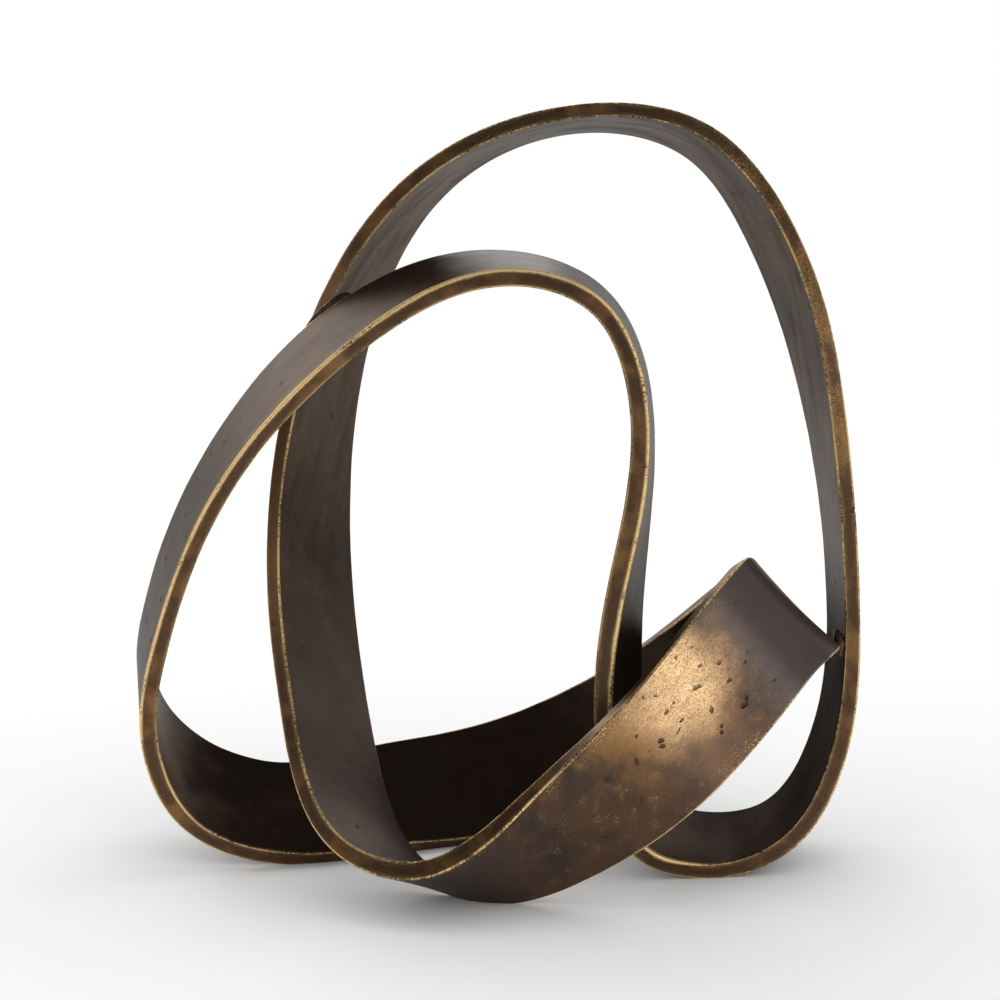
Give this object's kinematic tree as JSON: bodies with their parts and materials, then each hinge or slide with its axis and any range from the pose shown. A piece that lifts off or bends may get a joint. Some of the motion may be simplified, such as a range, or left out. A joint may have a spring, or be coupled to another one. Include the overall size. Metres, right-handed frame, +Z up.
{
  "type": "metal knot sculpture",
  "caption": "Free-standing tabletop sculpture: a flat cast bronze band in a loose closed knot with a half twist, dark patina and worn golden edges.",
  "frame": {"origin": "on the table plane, under the middle of the knot's overall box", "axes": "+Z up, -Y towards the viewer of the picture, +X to the viewer's right"},
  "size_m": [0.3073, 0.1605, 0.3222],
  "materials": {
    "patinated_bronze": "dark brown patina, satin, worn to bare metal on the arrises",
    "key_bronze": "machined, bare",
    "weld_bronze": "dressed weld, patinated"
  },
  "bodies": {
    "root": {"left_side": "patinated_bronze", "front_arch": "patinated_bronze", "inner_leg": "patinated_bronze", "right_foot": "patinated_bronze", "right_side": "patinated_bronze", "crown": "patinated_bronze", "left_leg": "patinated_bronze", "heel": "patinated_bronze", "front_sweep": "patinated_bronze", "rear_rise": "patinated_bronze", "left_foot": "patinated_bronze", "left_side_key": "key_bronze", "front_arch_key": "key_bronze", "inner_leg_key": "key_bronze", "right_foot_key": "key_bronze", "right_side_key": "key_bronze", "crown_key": "key_bronze", "left_leg_key": "key_bronze", "heel_key": "key_bronze", "front_sweep_key": "key_bronze", "rear_rise_key": "key_bronze", "left_foot_key": "key_bronze", "shoulder_weld": "weld_bronze", "tip_weld": "weld_bronze"}
  },
  "joints": []
}
